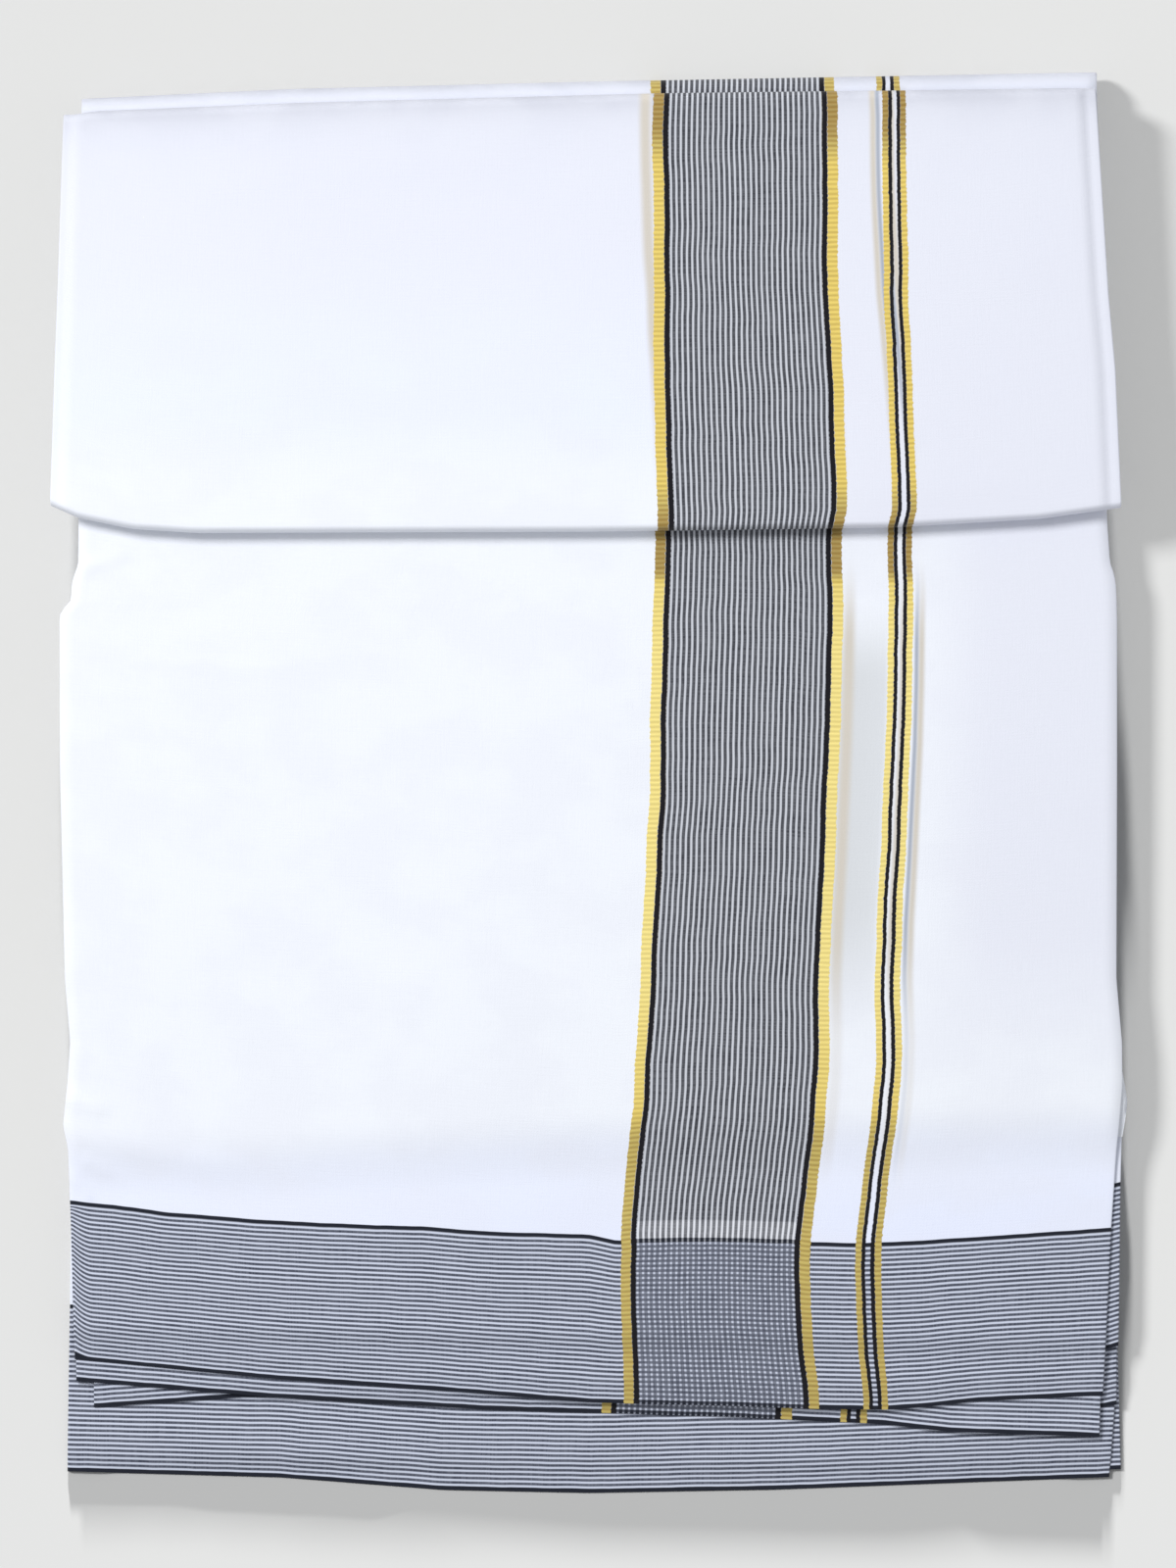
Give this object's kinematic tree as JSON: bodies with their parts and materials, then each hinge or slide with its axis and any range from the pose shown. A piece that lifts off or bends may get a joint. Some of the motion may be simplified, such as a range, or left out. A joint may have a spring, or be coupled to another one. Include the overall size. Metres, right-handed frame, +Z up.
{
  "type": "folded dhoti cloth",
  "caption": "Flat-folded white cotton dhoti with a turned-down flap, a wide and a narrow border down the front, and striped ends showing below.",
  "frame": {"origin": "centre of the folded packet's bounding box, on the surface it lies on", "axes": "+X to the right of someone facing the front, +Y towards the top fold, +Z up out of the front"},
  "size_m": [0.3235, 0.4277, 0.0177],
  "materials": {
    "white_cotton": "plain-woven white cotton, matt and faintly blue, with a warp-striped border edged in black and gold thread",
    "striped_end": "cotton end woven in fine dark weft stripes on pale grey, closed by a dark line at the hem",
    "folded_edges": "soft rounded folds of the same white cotton, seen edge on"
  },
  "bodies": {
    "root": {"back_ply": "white_cotton", "back_ply_top_fold": "white_cotton", "inner_back_ply": "striped_end", "third_end": "striped_end", "second_end": "striped_end", "side_end": "striped_end", "body_folds": "folded_edges", "front_panel": "white_cotton", "flap_folds": "folded_edges", "flap_front": "white_cotton"}
  },
  "joints": []
}
